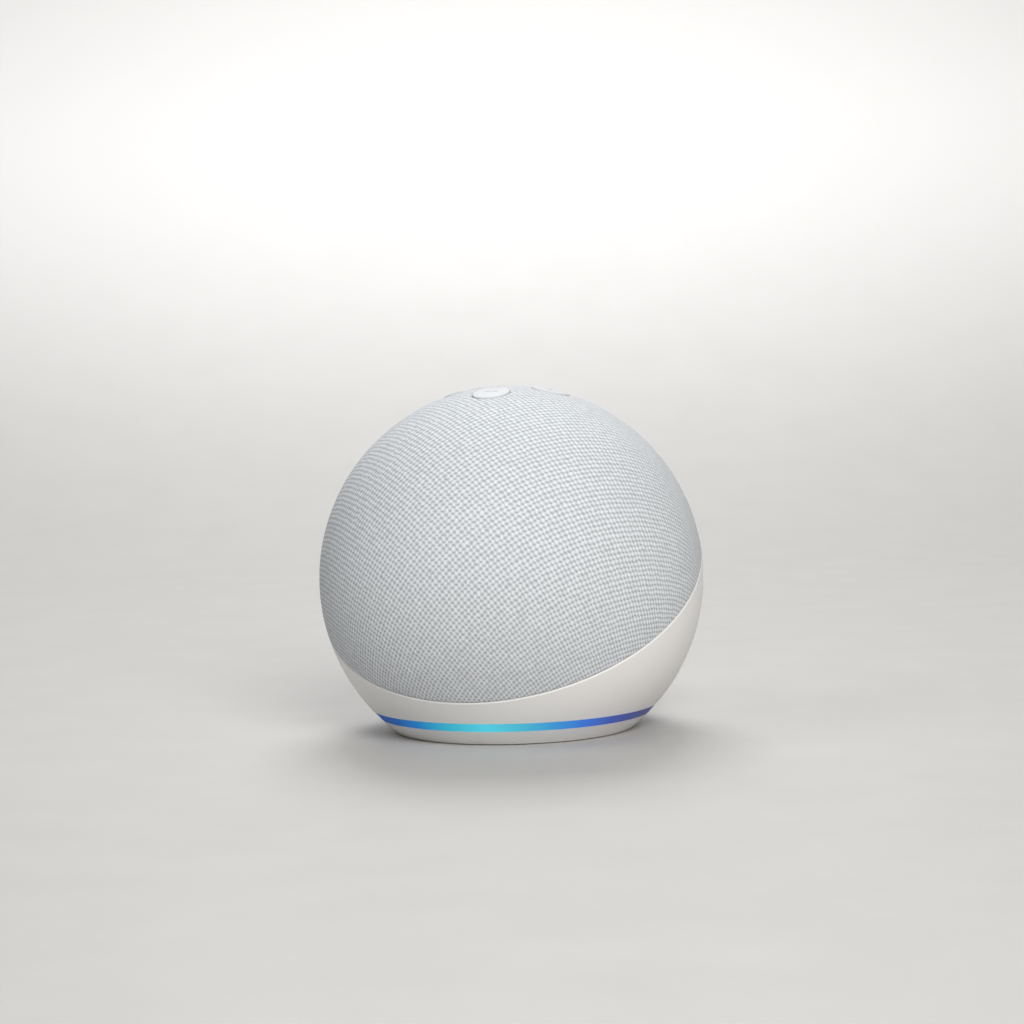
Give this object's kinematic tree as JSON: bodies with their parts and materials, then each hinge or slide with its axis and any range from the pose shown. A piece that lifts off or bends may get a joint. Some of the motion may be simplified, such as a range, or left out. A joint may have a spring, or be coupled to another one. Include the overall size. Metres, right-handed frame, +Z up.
{
  "type": "smart speaker",
  "caption": "Ball-shaped smart speaker: knitted cover over a tilted grille, plastic lower bowl, glowing ring at the foot and round press buttons on top.",
  "frame": {"origin": "middle of the foot, on the surface that the speaker stands on", "axes": "+Z up, -Y towards the loudspeaker at the front, +X to the right as seen from the front"},
  "size_m": [0.1, 0.1, 0.0894],
  "materials": {
    "knit_fabric": "open knitted mesh, matt",
    "shell_plastic": "fine satin moulded plastic",
    "frame_plastic": "moulded ABS, dark grey",
    "ring_plastic": "translucent light guide, glowing",
    "silicone": "matt silicone",
    "steel": "zinc-plated",
    "black_steel": "black plated",
    "circuit_board": "solder mask",
    "lamp": "clear lens",
    "white_film": "white film",
    "foam": "closed foam",
    "ferrite": "sintered ferrite",
    "cone_paper": "pressed fibre cone",
    "surround_rubber": "half-roll rubber",
    "spider_cloth": "treated cloth",
    "former_foil": "foil former",
    "copper_wire": "enamelled copper",
    "wire_jacket": "soft insulation",
    "tin_shield": "tinned sheet",
    "thermal_gel": "soft thermal pad",
    "heat_sink_metal": "extruded aluminium",
    "chip_black": "moulded packages",
    "jack_black": "moulded nylon",
    "contact_metal": "nickel-plated contact",
    "ribbon_film": "polyimide film",
    "button_plastic": "satin moulded plastic",
    "switch_body": "switch housing"
  },
  "bodies": {
    "speaker": {"fabric_cover": "knit_fabric", "grille_shell": "frame_plastic", "lower_housing": "shell_plastic", "light_ring": "ring_plastic", "base_cover": "shell_plastic", "foot_pad": "silicone", "base_screws": "steel", "frame_screws": "steel", "led_board": "circuit_board", "light_leds": "lamp", "light_reflector": "white_film", "acoustic_box_front": "frame_plastic", "acoustic_box_rear": "frame_plastic", "box_gasket": "foam", "box_screws": "steel", "driver_basket": "black_steel", "driver_gasket": "foam", "driver_screws": "steel", "driver_top_plate": "steel", "driver_magnet": "ferrite", "driver_yoke": "steel", "driver_surround": "surround_rubber", "driver_spider": "spider_cloth", "driver_terminals": "contact_metal", "speaker_leads": "wire_jacket", "lead_grommet": "foam", "main_board": "circuit_board", "board_screws": "steel", "processor_shield": "tin_shield", "radio_shield": "tin_shield", "thermal_pad": "thermal_gel", "heat_sink": "heat_sink_metal", "board_components": "chip_black", "dc_jack": "jack_black", "dc_jack_pin": "contact_metal", "antenna_left": "contact_metal", "antenna_right": "contact_metal", "led_ribbon": "ribbon_film", "button_ribbon": "ribbon_film", "ribbon_connectors": "jack_black", "button_board": "circuit_board", "button_carrier": "frame_plastic", "button_board_screws": "steel", "tact_switches": "switch_body", "microphones": "tin_shield", "microphone_seals": "foam", "mute_led": "lamp"},
    "cone": {"driver_cone": "cone_paper", "dust_cap": "cone_paper", "voice_coil_former": "former_foil", "voice_coil": "copper_wire"},
    "volume_down": {"volume_down_button": "button_plastic", "volume_down_plunger": "switch_body"},
    "action": {"action_button": "button_plastic", "action_plunger": "switch_body"},
    "volume_up": {"volume_up_button": "button_plastic", "volume_up_plunger": "switch_body"},
    "microphone": {"microphone_button": "button_plastic", "microphone_plunger": "switch_body"}
  },
  "joints": [
    {"name": "volume_down_press", "type": "slide", "parent": "speaker", "child": "volume_down", "axis": [0, 0, -1], "range_m": [0, 0.0004], "stiffness_N_per_m": 1500, "springref_m": -0.0003},
    {"name": "action_press", "type": "slide", "parent": "speaker", "child": "action", "axis": [0, 0, -1], "range_m": [0, 0.0004], "stiffness_N_per_m": 1500, "springref_m": -0.0003},
    {"name": "volume_up_press", "type": "slide", "parent": "speaker", "child": "volume_up", "axis": [0, 0, -1], "range_m": [0, 0.0004], "stiffness_N_per_m": 1500, "springref_m": -0.0003},
    {"name": "microphone_press", "type": "slide", "parent": "speaker", "child": "microphone", "axis": [0, 0, -1], "range_m": [0, 0.0004], "stiffness_N_per_m": 1500, "springref_m": -0.0003},
    {"name": "cone_stroke", "type": "slide", "parent": "speaker", "child": "cone", "axis": [0, -1, 0], "range_m": [-0.0012, 0.0012], "stiffness_N_per_m": 1200, "deforming": ["driver_surround", "driver_spider"]}
  ]
}
